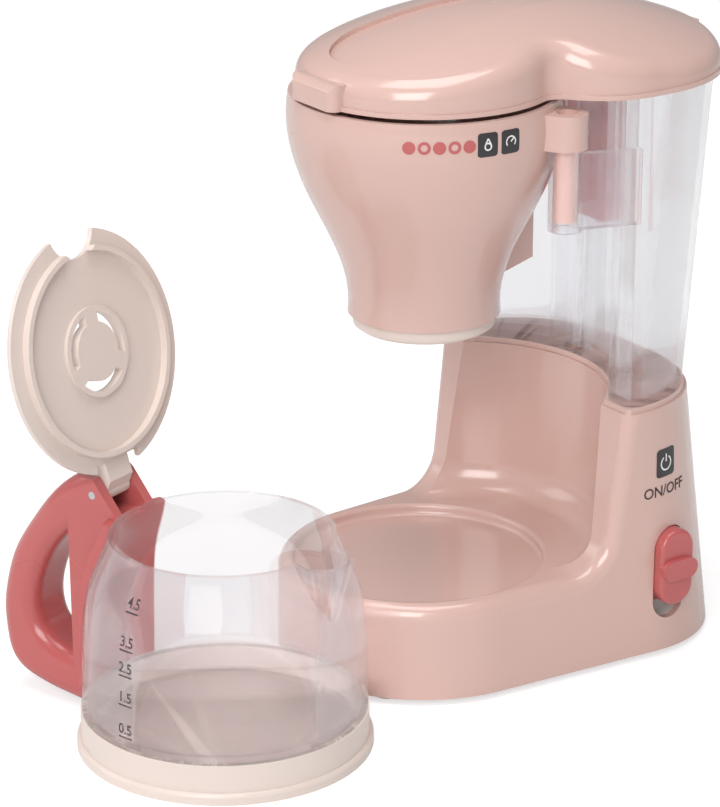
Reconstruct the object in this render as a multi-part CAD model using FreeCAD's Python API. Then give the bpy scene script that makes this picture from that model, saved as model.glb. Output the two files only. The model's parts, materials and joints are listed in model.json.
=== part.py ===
import FreeCAD, Part
import math
import os

os.makedirs("parts", exist_ok=True)
Vector = FreeCAD.Vector

# Toy coffee maker with its carafe standing beside it, lid up. Millimetres, +Z up.
# The origin is on the table under the middle of the jug plate; -Y is the front, +X the switch side.

# Clearances: hair between pieces that touch, slip between pieces that turn, play between pieces that move
hair = 0.02
slip = 0.06
play = 0.3

# Overall levels
feet_height = 2.0
deck_height = 32.5
seam_height = 84.5
tank_height = 97.0
wall = 2.2

# Base housing plan
front_radius = 45.0
base_half_width = 49.0
base_corner = 36.0
base_rear = 94.4
seam_half_width = 48.8
seam_rear = 83.1
bay_radius = 43.6
bay_setback = 16.0
bay_fillet = 9.0
horn_foot = 35.5
horn_top = 41.5
horn_fillet = 13.0
rim_round = 4.6
seat_step = 0.8
seat_rise = 1.6

# Jug plate in the deck
plate_radius = 38.8
plate_depth = 3.4
plate_setback = -1.6
plate_round = 1.3

# Bottom plate, feet and screws
bottom_thickness = 2.0
rim_recess = 0.4
foot_radius = 4.5
foot_front_circle = 37.4
foot_front_angle = 38.0
foot_rear_x = 20.0
foot_rear_y = 85.0
foot_round = 0.6
screw_shank = 1.3
screw_head = 2.6
screw_head_height = 1.6
screw_length = 11.0
cross_long = 1.7
cross_short = 0.35
boss_radius = 3.4
boss_front_y = -31.5
boss_side_x = 36.3
boss_side_y = 20.0
boss_rear_x = 34.9
boss_rear_y = 80.3
boss_height = 15.0

# Cells, their box and its door
cell_radius = 7.1
cell_length = 49.5
cell_nub_radius = 2.7
cell_nub_length = 1.0
cell_gap = 0.9
box_wall = 1.6
box_setback = -2.0
door_thickness = 1.6
door_screw_gap = 3.5
door_tab_radius = 5.0
door_boss_height = 8.0
door_screw_length = 8.0

# Contacts and wires
contact_thickness = 0.5
contact_width = 11.0
contact_tab_half = 1.5
contact_tab_reach = 2.0
contact_low_tab = 9.0
contact_high_tab = 16.4
spring_strip = 0.5
spring_half_width = 2.5
spring_half_height = 4.5
spring_length = 4.2
wire_radius = 0.7
wire_bend = 2.0

# Slide switch on the right side of the column
switch_y = 60.0
switch_slot_width = 13.6
switch_slot_bottom = 12.4
switch_slot_top = 43.0
switch_travel = 4.6
switch_knob_length = 25.0
switch_knob_proud = 3.4
switch_ridge_proud = 5.2
switch_knob_round = 1.4
switch_flange = 1.6
switch_flange_lip = 1.5
switch_flange_x = 41.0
switch_body_depth = 8.0
switch_rim = 1.6

# Pump and motor lying in the foot of the column, their axis along X
pump_y = 61.5
pump_z = 16.4
pump_face_x = -14.0
motor_radius = 9.0
motor_length = 22.0
motor_tag_length = 2.5
motor_tag_spread = 4.0
shaft_radius = 1.0
pump_radius = 11.0
pump_length = 10.4
pump_wall = 1.6
impeller_radius = 7.4
impeller_hub = 2.8
impeller_disc = 1.2
impeller_length = 6.0
impeller_vanes = 6
impeller_vane = 1.1
impeller_gap = 0.4
stub_length = 5.5
tube_radius = 2.6
tube_bore = 1.6
water_bore = 1.0
tube_bend = 9.0
riser_x = -8.0
riser_y = 67.0
outlet_x = 22.0
spigot_radius = 3.6
spigot_height = 4.5
barb_height = 8.0
seal_radius = 5.0

# Water tank
tank_wall = 2.0
tank_inset = 1.5
tank_top_half_width = 48.0
tank_top_corner = 38.0
tank_top_rear = 91.5
tank_horn_y = 43.0
tank_horn_round = 5.2
duct_half_width = 7.0
duct_back = 71.5
duct_wall = 1.3
duct_top = 130.0

# Spout housing standing on the duct
spout_left = -16.5
spout_right = 7.5
spout_front = 63.6
spout_back = 71.0
spout_top = 189.0
spout_wall = 1.5
nozzle_bottom = 183.0
nozzle_half_width = 7.5
nozzle_front = 24.0
nozzle_hole = 2.5
nozzle_hole_y = 29.0
spout_round = 1.0

# Filter basket
basket_top = 181.0
basket_rim_radius = 41.0
basket_belly_radius = 41.6
basket_belly_height = 172.5
basket_shoulder_radius = 36.0
basket_shoulder_height = 151.0
basket_neck_radius = 24.2
basket_neck_height = 124.0
basket_foot_radius = 23.3
basket_bottom = 112.0
basket_wall = 1.8
basket_outlet = 5.0
rib_half_width = 5.0
rib_reach = 37.5
rib_low = 119.5
rib_rise = 3.6
rib_top = 178.0
drip_ring_radius = 21.6
drip_ring_height = 3.6
drip_cap_radius = 20.2
drip_cap_height = 1.0
drip_hole_radius = 1.2
drip_hole_circle = 6.5
drip_holes = 6

# Basket swing pin and its clear socket
pin_x = 39.1
pin_y = 22.9
knuckle_radius = 6.2
knuckle_top = 179.0
knuckle_bottom = 168.2
knuckle_dimple = 3.2
knuckle_dimple_depth = 1.2
pin_radius = 3.7
pin_bottom = 146.0
socket_wall = 1.35
socket_bottom = 143.0
socket_seat = 0.1
web_half_thickness = 1.5
web_x = 46.2
web_y = 45.5

# Top lid
lid_rim = 182.2
lid_front_radius = 39.4
lid_shoulder_x = 21.8
lid_shoulder_y = 47.0
lid_shoulder_radius = 27.6
lid_half_width = 49.2
lid_corner = 42.0
lid_rear = 96.3
lid_waist_round = 6.0
lid_crown = 205.0
lid_crown_y = 30.0
lid_cross_radius = 98.0
lid_long_radius = 170.0
lid_wall = 2.2
lid_flange_height = 1.4
lid_flange_step = 0.6
lid_edge_round = 7.0
lid_grip_depth = 1.3
lid_grip_front_y = -14.0
lid_grip_front_radius = 17.0
lid_grip_rear_y = 62.0
lid_grip_rear_radius = 6.0
tab_half_width = 11.0
tab_reach = 41.5
tab_top = 190.0
tab_round = 3.0

# Lid hinge behind the tank
lid_pin_y = 95.5
lid_pin_z = 184.5
lid_pin_radius = 1.5
lid_barrel_radius = 3.0
lid_lug_half = 8.0
lid_lug_top = 190.0
lid_notch_top = 188.0
lid_notch_front = 90.0
lid_ear_thickness = 3.0
lid_ear_foot = 176.0

# Carafe, drawn with its handle along +X and then turned and moved
carafe_x = 21.6
carafe_y = -87.0
handle_angle = 200.3
flange_radius = 44.0
flange_height = 3.4
cup_radius = 42.7
cup_height = 11.8
cup_wall = 1.8
cup_floor_low = 2.0
cup_floor_top = 4.0
jug_low_radius = 40.6
jug_foot_radius = 42.4
jug_waist_radius = 41.7
jug_waist_height = 35.0
jug_upper_radius = 39.1
jug_upper_height = 51.3
jug_neck_radius = 34.6
jug_neck_height = 62.0
jug_rim_radius = 33.4
jug_height = 66.0
jug_wall = 1.7
beak_reach = 35.5
beak_low = 44.0
beak_low_radius = 3.5
beak_radius = 9.0

# Carafe handle
handle_half_width = 9.0
handle_round = 5.0
handle_inner = 30.0
handle_cheek_low = 66.0
handle_cheek_reach = 33.0
handle_cheek_top = 76.0
handle_cheek_back = 41.0
handle_notch_half = 5.6
handle_notch_floor = 64.0
handle_notch_reach = 45.5
handle_spine = 3.0
handle_spine_angle = 22.0
handle_spine_low = 12.2
handle_spine_top = 65.0

# Carafe lid
carafe_hinge_reach = 41.5
carafe_hinge_z = 71.0
carafe_pin_radius = 1.2
carafe_lid_radius = 36.2
carafe_lid_open = 103.0
carafe_lid_thickness = 1.8
carafe_lid_cut = 32.3
carafe_lid_cut_half = 9.6
carafe_arm_half = 5.2
carafe_arm_root = 22.0
carafe_arm_height = 3.0
carafe_barrel_radius = 3.0
carafe_ring_radius = 31.2
carafe_ring_wall = 1.6
carafe_ring_height = 2.4
carafe_hub_radius = 13.5
carafe_hub_height = 1.2
carafe_slot_inner = 8.8
carafe_slot_outer = 11.8
carafe_slot_share = 0.78
carafe_notch_radius = 10.0
carafe_notch_reach = 38.0


# Basic shapes and small helpers
def cylinder(radius, height, x, y, z):
    return Part.makeCylinder(radius, height, Vector(x, y, z))


def rod(radius, start, end):
    span = end.sub(start)
    return Part.makeCylinder(radius, span.Length, start, span)


def block(x0, x1, y0, y1, z0, z1):
    return Part.makeBox(x1 - x0, y1 - y0, z1 - z0, Vector(x0, y0, z0))


def fused(shapes):
    return shapes[0].multiFuse(shapes[1:]).removeSplitter()


def carved(shape, tools):
    return shape.cut(Part.makeCompound(tools))


def placed(shape, x, y, z):
    moved = shape.copy()
    moved.translate(Vector(x, y, z))
    return moved


def both_sides(places):
    return [(sign * x, y) for x, y in places for sign in (-1, 1)]


def line(start, end):
    return Part.LineSegment(start, end).toShape()


def arc(centre, radius, start_deg, end_deg):
    circle = Part.Circle(centre, Vector(0, 0, 1), radius)
    return Part.Arc(circle, math.radians(start_deg), math.radians(end_deg)).toShape()


def curve_through(points):
    spline = Part.BSplineCurve()
    spline.interpolate(points)
    return spline.toShape()


def spin(points, smooth_points):
    # Turns a closed outline about Z: a curve through smooth_points, then straight through points.
    curve = [Vector(r, 0, z) for r, z in smooth_points]
    corners = [Vector(r, 0, z) for r, z in points]
    chain = [curve[-1]] + corners + [curve[0]]
    edges = [curve_through(curve)] + [line(a, b) for a, b in zip(chain, chain[1:]) if a.distanceToPoint(b) > hair]
    face = Part.Face(Part.Wire(Part.__sortEdges__(edges)))
    return face.revolve(Vector(0, 0, 0), Vector(0, 0, 1), 360)


def prism(wire, height):
    return Part.Face(wire).extrude(Vector(0, 0, height))


def edges_near(shape, test):
    chosen = []
    for edge in shape.Edges:
        first, last = edge.ParameterRange
        points = [edge.valueAt(first + (last - first) * share) for share in (0.02, 0.5, 0.98)]
        if all(test(point) for point in points):
            chosen.append(edge)
    return chosen


def ring_edges(shape, z):
    return edges_near(shape, lambda p: abs(p.z - z) < hair)


def save(name, shape):
    solids = shape.Solids
    result = solids[0] if len(solids) == 1 else Part.makeCompound(solids)
    result.exportStep("parts/" + name + ".step")
    print(name, len(solids), round(result.Volume, 1), result.isValid())


# Plans made of circles joined by outer tangents, counter-clockwise
def tangent_angle(first, second):
    dx = second[0] - first[0]
    dy = second[1] - first[1]
    lean = math.acos((first[2] - second[2]) / math.hypot(dx, dy))
    return math.degrees(math.atan2(dy, dx) - lean)


def on_circle(circle, angle, z):
    turn = math.radians(angle)
    return Vector(circle[0] + circle[2] * math.cos(turn), circle[1] + circle[2] * math.sin(turn), z)


def hull_wire(circles, z):
    following = circles[1:] + circles[:1]
    angles = [tangent_angle(first, second) for first, second in zip(circles, following)]
    edges = []
    for index, circle in enumerate(circles):
        start = angles[index - 1]
        end = start + (angles[index] - start) % 360
        edges.append(arc(Vector(circle[0], circle[1], z), circle[2], start, end))
        edges.append(line(on_circle(circle, angles[index], z), on_circle(following[index], angles[index], z)))
    return Part.Wire(edges)


def pear_plan(front, half, corner, rear, z):
    dx = half - corner
    dy = rear - corner
    return hull_wire([(0, 0, front), (dx, dy, corner), (-dx, dy, corner)], z)


# Plan of the housing at a height
def between(low, high, share):
    return low + (high - low) * share


def plan_sizes(z):
    share = (z - feet_height) / (seam_height - feet_height)
    half = between(base_half_width, seam_half_width, share)
    rear = between(base_rear, seam_rear, share)
    return half, rear


def housing_block(inset, low, high):
    wires = []
    for z in (low, high):
        half, rear = plan_sizes(z)
        wires.append(pear_plan(front_radius - inset, half - inset, base_corner - inset, rear - inset, z))
    return Part.makeLoft(wires, True, True)


def bay_cutter(grow, floor, top):
    # The open bay over the jug plate: a round back and a sloped front on the two horns.
    back = cylinder(bay_radius + grow, top - floor, 0, bay_setback, floor)
    back = back.makeFillet(bay_fillet, ring_edges(back, floor))
    slope = (horn_top - horn_foot) / (seam_height - deck_height)
    reach = 2 * front_radius
    foot = horn_foot + grow
    head = foot + slope * (top - floor)
    corners = [
        Vector(-reach, -reach, floor),
        Vector(-reach, foot, floor),
        Vector(-reach, head, top),
        Vector(-reach, -reach, top),
    ]
    face = Part.Face(Part.makePolygon(corners + corners[:1]))
    front = face.extrude(Vector(2 * reach, 0, 0))
    crease = edges_near(front, lambda p: abs(p.z - floor) < hair and abs(p.y - foot) < hair)
    front = front.makeFillet(horn_fillet, crease)
    return back.fuse(front)


def on_side(point):
    half, rear = plan_sizes(point.z)
    corner = (half - base_corner, rear - base_corner, base_corner)
    lean = math.radians(tangent_angle((0, 0, front_radius), corner))
    across = abs(point.x)
    near = 0.2
    on_front = abs(math.hypot(point.x, point.y) - front_radius) < near
    on_flank = abs(across * math.cos(lean) + point.y * math.sin(lean) - front_radius) < near
    on_corner = abs(math.hypot(across - corner[0], point.y - corner[1]) - base_corner) < near
    return on_front or on_flank or on_corner


# Base housing: one shell, deck in front and column behind
bottom_low = feet_height + rim_recess
bottom_top = bottom_low + bottom_thickness


def plate_cutter():
    floor = deck_height - plate_depth
    tool = cylinder(plate_radius, plate_depth + wall, 0, plate_setback, floor)
    return tool.makeFillet(plate_round, ring_edges(tool, floor))


def seat_trim():
    floor = seam_height - seat_rise
    top = seam_height + wall
    reach = 3 * front_radius
    around = block(-reach, reach, -reach, reach, floor, top)
    inner = housing_block(seat_step, floor, top)
    bay = bay_cutter(seat_step, deck_height, top + wall)
    return around.cut(inner.cut(bay))


def housing_outside():
    body = housing_block(0, feet_height, seam_height)
    body = body.cut(bay_cutter(0, deck_height, seam_height + wall))
    rim = edges_near(body, lambda p: p.z > deck_height - hair and on_side(p))
    rim = [edge for edge in rim if edge.BoundBox.ZMin < seam_height - hair]
    body = body.makeFillet(rim_round, rim)
    body = body.cut(seat_trim())
    body = body.cut(plate_cutter())
    lip = edges_near(body, lambda p: abs(p.z - deck_height) < hair
                     and abs(math.hypot(p.x, p.y - plate_setback) - plate_radius) < hair)
    return body.makeFillet(plate_round, lip)


def housing_inside():
    body = housing_block(wall, feet_height - wall, seam_height - wall)
    body = body.cut(bay_cutter(wall, deck_height - wall, seam_height))
    floor = deck_height - plate_depth - wall
    return body.cut(cylinder(plate_radius + wall, deck_height, 0, plate_setback, floor))


def screw_places():
    return [(0, boss_front_y)] + both_sides([(boss_side_x, boss_side_y), (boss_rear_x, boss_rear_y)])


def housing_bosses():
    bosses = []
    for x, y in screw_places():
        top = bottom_top + boss_height if y > boss_side_y else deck_height - wall / 2
        bosses.append(cylinder(boss_radius, top - bottom_top, x, y, bottom_top))
    inside = housing_block(wall / 2, feet_height, deck_height).cut(plate_room())
    return [boss.common(inside) for boss in bosses]


def plate_room():
    floor = deck_height - plate_depth - wall / 2
    return cylinder(plate_radius + wall / 2, deck_height, 0, plate_setback, floor)


def upright_slot(y, low, high, width, x0, x1):
    # An upright slot shape with round ends, running along X.
    radius = width / 2
    ends = [rod(radius, Vector(x0, y, z), Vector(x1, y, z)) for z in (low + radius, high - radius)]
    middle = block(x0, x1, y - radius, y + radius, low + radius, high - radius)
    return fused(ends + [middle])


def base_housing():
    body = fused([housing_outside().cut(housing_inside())] + housing_bosses())
    depth = screw_length - bottom_thickness + play
    bores = [cylinder(screw_shank + hair, depth, x, y, bottom_top) for x, y in screw_places()]
    holes = [cylinder(seal_radius, 2 * wall, x, y, seam_height - 1.5 * wall) for x, y in spigot_places()]
    slot = upright_slot(switch_y, switch_slot_bottom, switch_slot_top, switch_slot_width,
                        switch_flange_x, base_half_width + wall)
    return carved(body, bores + holes + [slot])


# Bottom plate with the cell box, and what is screwed under it
box_half_length = (cell_length + cell_nub_length + spring_length) / 2 + contact_thickness
box_half_width = 2 * cell_radius + cell_gap / 2 + play
cell_floor = bottom_low + door_thickness
cell_z = cell_floor + cell_radius
box_ceiling = cell_z + cell_radius + play
door_screw_y = box_setback + box_half_width + door_screw_gap


def box_block(grow, low, high):
    x = box_half_length + grow
    y = box_half_width + grow
    return block(-x, x, box_setback - y, box_setback + y, low, high)


def cell_rows():
    # Each row's Y and the X direction its positive end points to.
    offset = cell_radius + cell_gap / 2
    return [(box_setback + offset, 1), (box_setback - offset, -1)]


def tab_block(row_y, level, grow):
    half = contact_tab_half + grow
    end = box_half_length + box_wall + contact_tab_reach
    low = level - contact_thickness / 2 - grow
    high = level + contact_thickness / 2 + grow
    return block(box_half_length - contact_thickness, end, row_y - half, row_y + half, low, high)


def contact_tabs(grow):
    levels = (contact_low_tab, contact_high_tab)
    return [tab_block(row[0], level, grow) for row, level in zip(cell_rows(), levels)]


def motor_cradle(x):
    half = motor_radius * 0.7
    post = block(x, x + box_wall, pump_y - half, pump_y + half, bottom_top - hair, pump_z)
    return post.cut(rod(motor_radius + hair, Vector(x - play, pump_y, pump_z), Vector(x + 2 * box_wall, pump_y, pump_z)))


def base_plate():
    gap = wall + play
    half, rear = plan_sizes(bottom_top)
    wire = pear_plan(front_radius - gap, half - gap, base_corner - gap, rear - gap, bottom_low)
    plate = prism(wire, bottom_thickness)
    walls = box_block(box_wall, bottom_low, box_ceiling + box_wall)
    boss = cylinder(door_tab_radius, door_boss_height, 0, door_screw_y, bottom_low)
    cradles = [motor_cradle(pump_face_x - motor_length + step) for step in (play, motor_length - 3 * box_wall)]
    body = fused([plate, walls, boss] + cradles)
    room = box_block(0, bottom_low - hair, box_ceiling)
    ledge = box_block(box_wall, bottom_low - hair, cell_floor)
    tab = cylinder(door_tab_radius + play, door_thickness, 0, door_screw_y, bottom_low)
    holes = [cylinder(screw_shank + play, 2 * wall, x, y, feet_height) for x, y in screw_places()]
    holes.append(cylinder(screw_shank + hair, door_boss_height + wall, 0, door_screw_y, bottom_low - hair))
    return carved(body, [room, ledge, tab] + contact_tabs(hair) + holes)


def battery_door():
    cover = box_block(box_wall - play, bottom_low, cell_floor)
    tab = cylinder(door_tab_radius, door_thickness, 0, door_screw_y, bottom_low)
    hole = cylinder(screw_shank + play, 2 * wall, 0, door_screw_y, feet_height)
    return fused([cover, tab]).cut(hole)


def screw(x, y, length):
    head_low = bottom_low - screw_head_height
    head = cylinder(screw_head, screw_head_height, x, y, head_low)
    shank = cylinder(screw_shank, length, x, y, bottom_low - hair)
    sizes = ((cross_long, cross_short), (cross_short, cross_long))
    cross = [block(x - a, x + a, y - b, y + b, head_low - hair, bottom_low - screw_head_height / 2) for a, b in sizes]
    return carved(fused([head, shank]), cross)


def case_screws():
    return Part.makeCompound([screw(x, y, screw_length) for x, y in screw_places()])


def feet():
    turn = math.radians(foot_front_angle)
    front = (foot_front_circle * math.sin(turn), -foot_front_circle * math.cos(turn))
    pads = []
    for x, y in both_sides([front, (foot_rear_x, foot_rear_y)]):
        pad = cylinder(foot_radius, bottom_low, x, y, 0)
        pads.append(pad.makeFillet(foot_round, ring_edges(pad, 0)))
    return Part.makeCompound(pads)


# Cells, contacts and wires
def battery_cells():
    cells = []
    for y, way in cell_rows():
        nub_end = box_half_length - contact_thickness
        body_end = nub_end - cell_nub_length
        tail = body_end - cell_length
        can = rod(cell_radius, Vector(way * tail, y, cell_z), Vector(way * body_end, y, cell_z))
        nub = rod(cell_nub_radius, Vector(way * body_end, y, cell_z), Vector(way * nub_end, y, cell_z))
        cells.append(fused([can, nub]))
    return Part.makeCompound(cells)


def end_strip(side, y0, y1):
    x0, x1 = sorted((side * box_half_length, side * (box_half_length - contact_thickness)))
    half = contact_width / 2
    return block(x0, x1, y0 - half, y1 + half, cell_z - half, cell_z + half)


def contact_plates():
    rows = [row[0] for row in cell_rows()]
    bridge = end_strip(-1, min(rows), max(rows))
    ends = [fused([end_strip(1, y, y), tab]) for y, tab in zip(rows, contact_tabs(0))]
    return Part.makeCompound([bridge] + ends)


def contact_springs():
    # A bent leaf at the tail of each cell, its two feet on the contact and its nose on the cell.
    springs = []
    foot = contact_thickness - box_half_length
    nose = foot + spring_length
    high = spring_half_height
    low = spring_half_height - 2 * spring_strip
    for y, way in cell_rows():
        outline = [(foot, -high), (nose, -spring_strip), (nose, spring_strip), (foot, high)]
        outline += [(foot, low), (nose - spring_strip, 0), (foot, -low)]
        corners = [Vector(x, y - spring_half_width, cell_z + z) for x, z in outline]
        leaf = Part.Face(Part.makePolygon(corners + corners[:1])).extrude(Vector(0, 2 * spring_half_width, 0))
        if way < 0:
            leaf.rotate(Vector(0, y, cell_z), Vector(0, 0, 1), 180)
        springs.append(leaf)
    return Part.makeCompound(springs)


def bent_path(corners, bend):
    # Straight runs through the corners, each inner corner rounded by a tangent arc.
    edges = []
    start = corners[0]
    for before, corner, after in zip(corners, corners[1:], corners[2:]):
        back = (before - corner).normalize()
        ahead = (after - corner).normalize()
        arc_start = corner + back * bend
        arc_end = corner + ahead * bend
        centre = corner + (back + ahead) * bend
        middle = centre + (corner - centre).normalize() * bend
        edges.append(line(start, arc_start))
        edges.append(Part.Arc(arc_start, middle, arc_end).toShape())
        start = arc_end
    edges.append(line(start, corners[-1]))
    return Part.Wire(edges)


def cable(corners, radius, bend):
    path = bent_path(corners, bend)
    across = corners[1] - corners[0]
    ring = Part.Wire(Part.makeCircle(radius, corners[0], across).Edges)
    return path.makePipeShell([ring], True, False)


def wiring():
    rows = [row[0] for row in cell_rows()]
    tab_x = box_half_length + box_wall + contact_tab_reach - wire_radius
    tag_x = pump_face_x - motor_length - motor_tag_length
    inner_x = tag_x - wire_bend - wire_radius
    outer_x = inner_x - 4 * wire_radius
    body_x = switch_flange_x - play - switch_body_depth
    body_y = switch_y - switch_body_half_width()
    low = contact_low_tab
    high = contact_high_tab
    near_y = body_y - 4 * wire_bend
    far_y = near_y - 2 * wire_bend
    to_switch = [
        Vector(tab_x, rows[0] + contact_tab_half, low),
        Vector(tab_x, body_y + 3 * wire_bend, low),
        Vector(body_x, body_y + 3 * wire_bend, low),
    ]
    switch_to_motor = [
        Vector(body_x + 2 * wire_bend, body_y, high),
        Vector(body_x + 2 * wire_bend, near_y, high),
        Vector(inner_x, near_y, high),
        Vector(inner_x, pump_y - motor_tag_spread, high),
        Vector(tag_x, pump_y - motor_tag_spread, high),
    ]
    motor_to_cells = [
        Vector(tab_x, rows[1] + contact_tab_half, high),
        Vector(tab_x, far_y, high),
        Vector(outer_x, far_y, high),
        Vector(outer_x, pump_y + motor_tag_spread, high),
        Vector(tag_x, pump_y + motor_tag_spread, high),
    ]
    runs = (to_switch, switch_to_motor, motor_to_cells)
    return Part.makeCompound([cable(run, wire_radius, wire_bend) for run in runs])


# Switch behind its slot, and the knob that slides in it
knob_half_width = switch_slot_width / 2 - play
knob_top = switch_slot_top - play
knob_bottom = knob_top - switch_knob_length


def switch_body_half_width():
    return knob_half_width + switch_flange_lip + play + switch_rim


def switch_body():
    half = switch_body_half_width()
    margin = switch_flange_lip + play
    low = knob_bottom - switch_travel - margin
    high = knob_top + margin
    back = switch_flange_x - play
    body = block(back - switch_body_depth, base_half_width, switch_y - half, switch_y + half,
                 low - switch_rim, high + switch_rim)
    room = upright_slot(switch_y, low, high, 2 * (half - switch_rim), back, base_half_width + wall)
    return body.common(housing_block(wall, feet_height, seam_height)).cut(room)


def switch_knob():
    width = 2 * knob_half_width
    face = base_half_width + switch_knob_proud
    knob = upright_slot(switch_y, knob_bottom, knob_top, width, switch_flange_x, face)
    knob = knob.makeFillet(switch_knob_round, edges_near(knob, lambda p: abs(p.x - face) < hair))
    flange = upright_slot(switch_y, knob_bottom - switch_flange_lip, knob_top + switch_flange_lip,
                          width + 2 * switch_flange_lip, switch_flange_x, switch_flange_x + switch_flange)
    middle = (knob_bottom + knob_top) / 2
    ridge = upright_slot(middle, -knob_half_width, knob_half_width, width / 2, switch_flange_x,
                         base_half_width + switch_ridge_proud)
    ridge.rotate(Vector(0, middle, 0), Vector(1, 0, 0), 90)
    ridge.translate(Vector(0, switch_y - middle, middle))
    return fused([knob, flange, ridge])


# Pump and motor
def along_x(radius, start, end):
    return rod(radius, Vector(start, pump_y, pump_z), Vector(end, pump_y, pump_z))


chamber_start = pump_face_x + pump_wall
cover_start = pump_face_x + pump_length
impeller_start = chamber_start + impeller_gap
impeller_end = impeller_start + impeller_length
cover_end = cover_start + pump_wall
stub_radius = tube_bore - hair


def spigot_places():
    return [(riser_x, riser_y), (outlet_x, pump_y)]


def pump_motor():
    tail = pump_face_x - motor_length
    can = along_x(motor_radius, tail, pump_face_x)
    half = contact_tab_half
    tags = []
    for y in (pump_y - motor_tag_spread, pump_y + motor_tag_spread):
        low = contact_high_tab - contact_thickness / 2
        tags.append(block(tail - motor_tag_length, tail + hair, y - half, y + half, low, low + contact_thickness))
    return fused([can] + tags).cut(along_x(shaft_radius + slip, tail + motor_length / 2, pump_face_x + hair))


def motor_shaft():
    return along_x(shaft_radius, pump_face_x - motor_length / 2 + play, impeller_end)


def pump_impeller():
    hub = along_x(impeller_hub, impeller_start, impeller_end)
    disc = along_x(impeller_radius, impeller_start, impeller_start + impeller_disc)
    vanes = []
    for index in range(impeller_vanes):
        vane = block(impeller_start, impeller_end, -impeller_vane / 2, impeller_vane / 2, 0, impeller_radius - play)
        vane.rotate(Vector(0, 0, 0), Vector(1, 0, 0), index * 360 / impeller_vanes)
        vanes.append(placed(vane, 0, pump_y, pump_z))
    return fused([hub, disc] + vanes).cut(along_x(shaft_radius + hair, impeller_start - hair, impeller_end + hair))


def pump_housing():
    can = along_x(pump_radius, pump_face_x, cover_start)
    foot = block(pump_face_x, cover_start, pump_y - pump_radius / 2, pump_y + pump_radius / 2, bottom_top, pump_z)
    stub = cylinder(stub_radius, pump_radius + stub_length, riser_x, riser_y, pump_z)
    body = fused([can, foot, stub])
    room = along_x(pump_radius - pump_wall, chamber_start, cover_start + hair)
    neck = along_x(shaft_radius + slip, pump_face_x - hair, chamber_start + hair)
    bore = cylinder(water_bore, 2 * pump_radius, riser_x, riser_y, pump_z)
    return carved(body, [room, neck, bore])


def pump_cover():
    plate = along_x(pump_radius, cover_start, cover_end)
    stub = along_x(stub_radius, cover_end - hair, cover_end + stub_length)
    return fused([plate, stub]).cut(along_x(water_bore, cover_start - hair, cover_end + stub_length + hair))


def hose(corners, bend):
    return cable(corners, tube_radius, bend).cut(cable(corners, tube_bore, bend))


def hose_top():
    return seam_height - spigot_height


def inlet_tube():
    corners = [
        Vector(cover_end, pump_y, pump_z),
        Vector(outlet_x, pump_y, pump_z),
        Vector(outlet_x, pump_y, hose_top()),
    ]
    return hose(corners, tube_bend)


def riser_tube():
    start = pump_z + pump_radius
    return cylinder(tube_radius, hose_top() - start, riser_x, riser_y, start).cut(
        cylinder(tube_bore, seam_height, riser_x, riser_y, start - hair))


def tank_seals():
    seals = []
    for x, y in spigot_places():
        ring = cylinder(seal_radius - hair, wall, x, y, seam_height - wall)
        seals.append(ring.cut(cylinder(spigot_radius + hair, 2 * wall, x, y, seam_height - 1.5 * wall)))
    return Part.makeCompound(seals)


# Water tank: a clear crescent over the column, with the riser duct and the basket's pin socket
tank_top = seam_height + tank_height


def tank_plan(inset, z):
    share = (z - seam_height) / tank_height
    half = between(seam_half_width - tank_inset, tank_top_half_width, share) - inset
    corner = between(base_corner - tank_inset, tank_top_corner, share) - inset
    rear = between(seam_rear - tank_inset, tank_top_rear, share) - inset
    return pear_plan(front_radius - tank_inset - inset, half, corner, rear, z)


def tank_block(inset, low, high):
    body = Part.makeLoft([tank_plan(inset, low), tank_plan(inset, high)], True, True)
    reach = 2 * front_radius
    front = tank_horn_y + inset
    body = body.cut(cylinder(bay_radius + tank_inset + inset, tank_height * 2, 0, bay_setback, low - hair))
    body = body.cut(block(-reach, reach, -reach, front, low - hair, high + hair))
    corners = edges_near(body, lambda p: abs(p.y - front) < hair)
    corners = [edge for edge in corners if edge.BoundBox.ZLength > high - low - hair]
    return body.makeFillet(tank_horn_round - inset * 0.8, corners)


def duct():
    front = bay_setback + bay_radius
    body = block(riser_x - duct_half_width, riser_x + duct_half_width, front, duct_back, seam_height, duct_top)
    return body.cut(cylinder(bay_radius + tank_inset + tank_wall / 2, tank_height, 0, bay_setback, seam_height))


def duct_room():
    half = duct_half_width - duct_wall
    floor = seam_height + tank_wall
    room = block(riser_x - half, riser_x + half, bay_setback, duct_back - duct_wall, floor, duct_top + hair)
    return room.cut(cylinder(bay_radius + tank_inset + tank_wall, tank_height, 0, bay_setback, floor))


def socket_parts():
    top = knuckle_bottom - socket_seat
    tube = cylinder(pin_radius + slip + socket_wall, top - socket_bottom, pin_x, pin_y, socket_bottom)
    span = Vector(web_x - pin_x, web_y - pin_y, 0)
    web = block(0, span.Length, -web_half_thickness, web_half_thickness, socket_bottom, top - tank_wall)
    web.rotate(Vector(0, 0, 0), Vector(0, 0, 1), math.degrees(math.atan2(span.y, span.x)))
    return [tube, placed(web, pin_x, pin_y, 0)]


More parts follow.
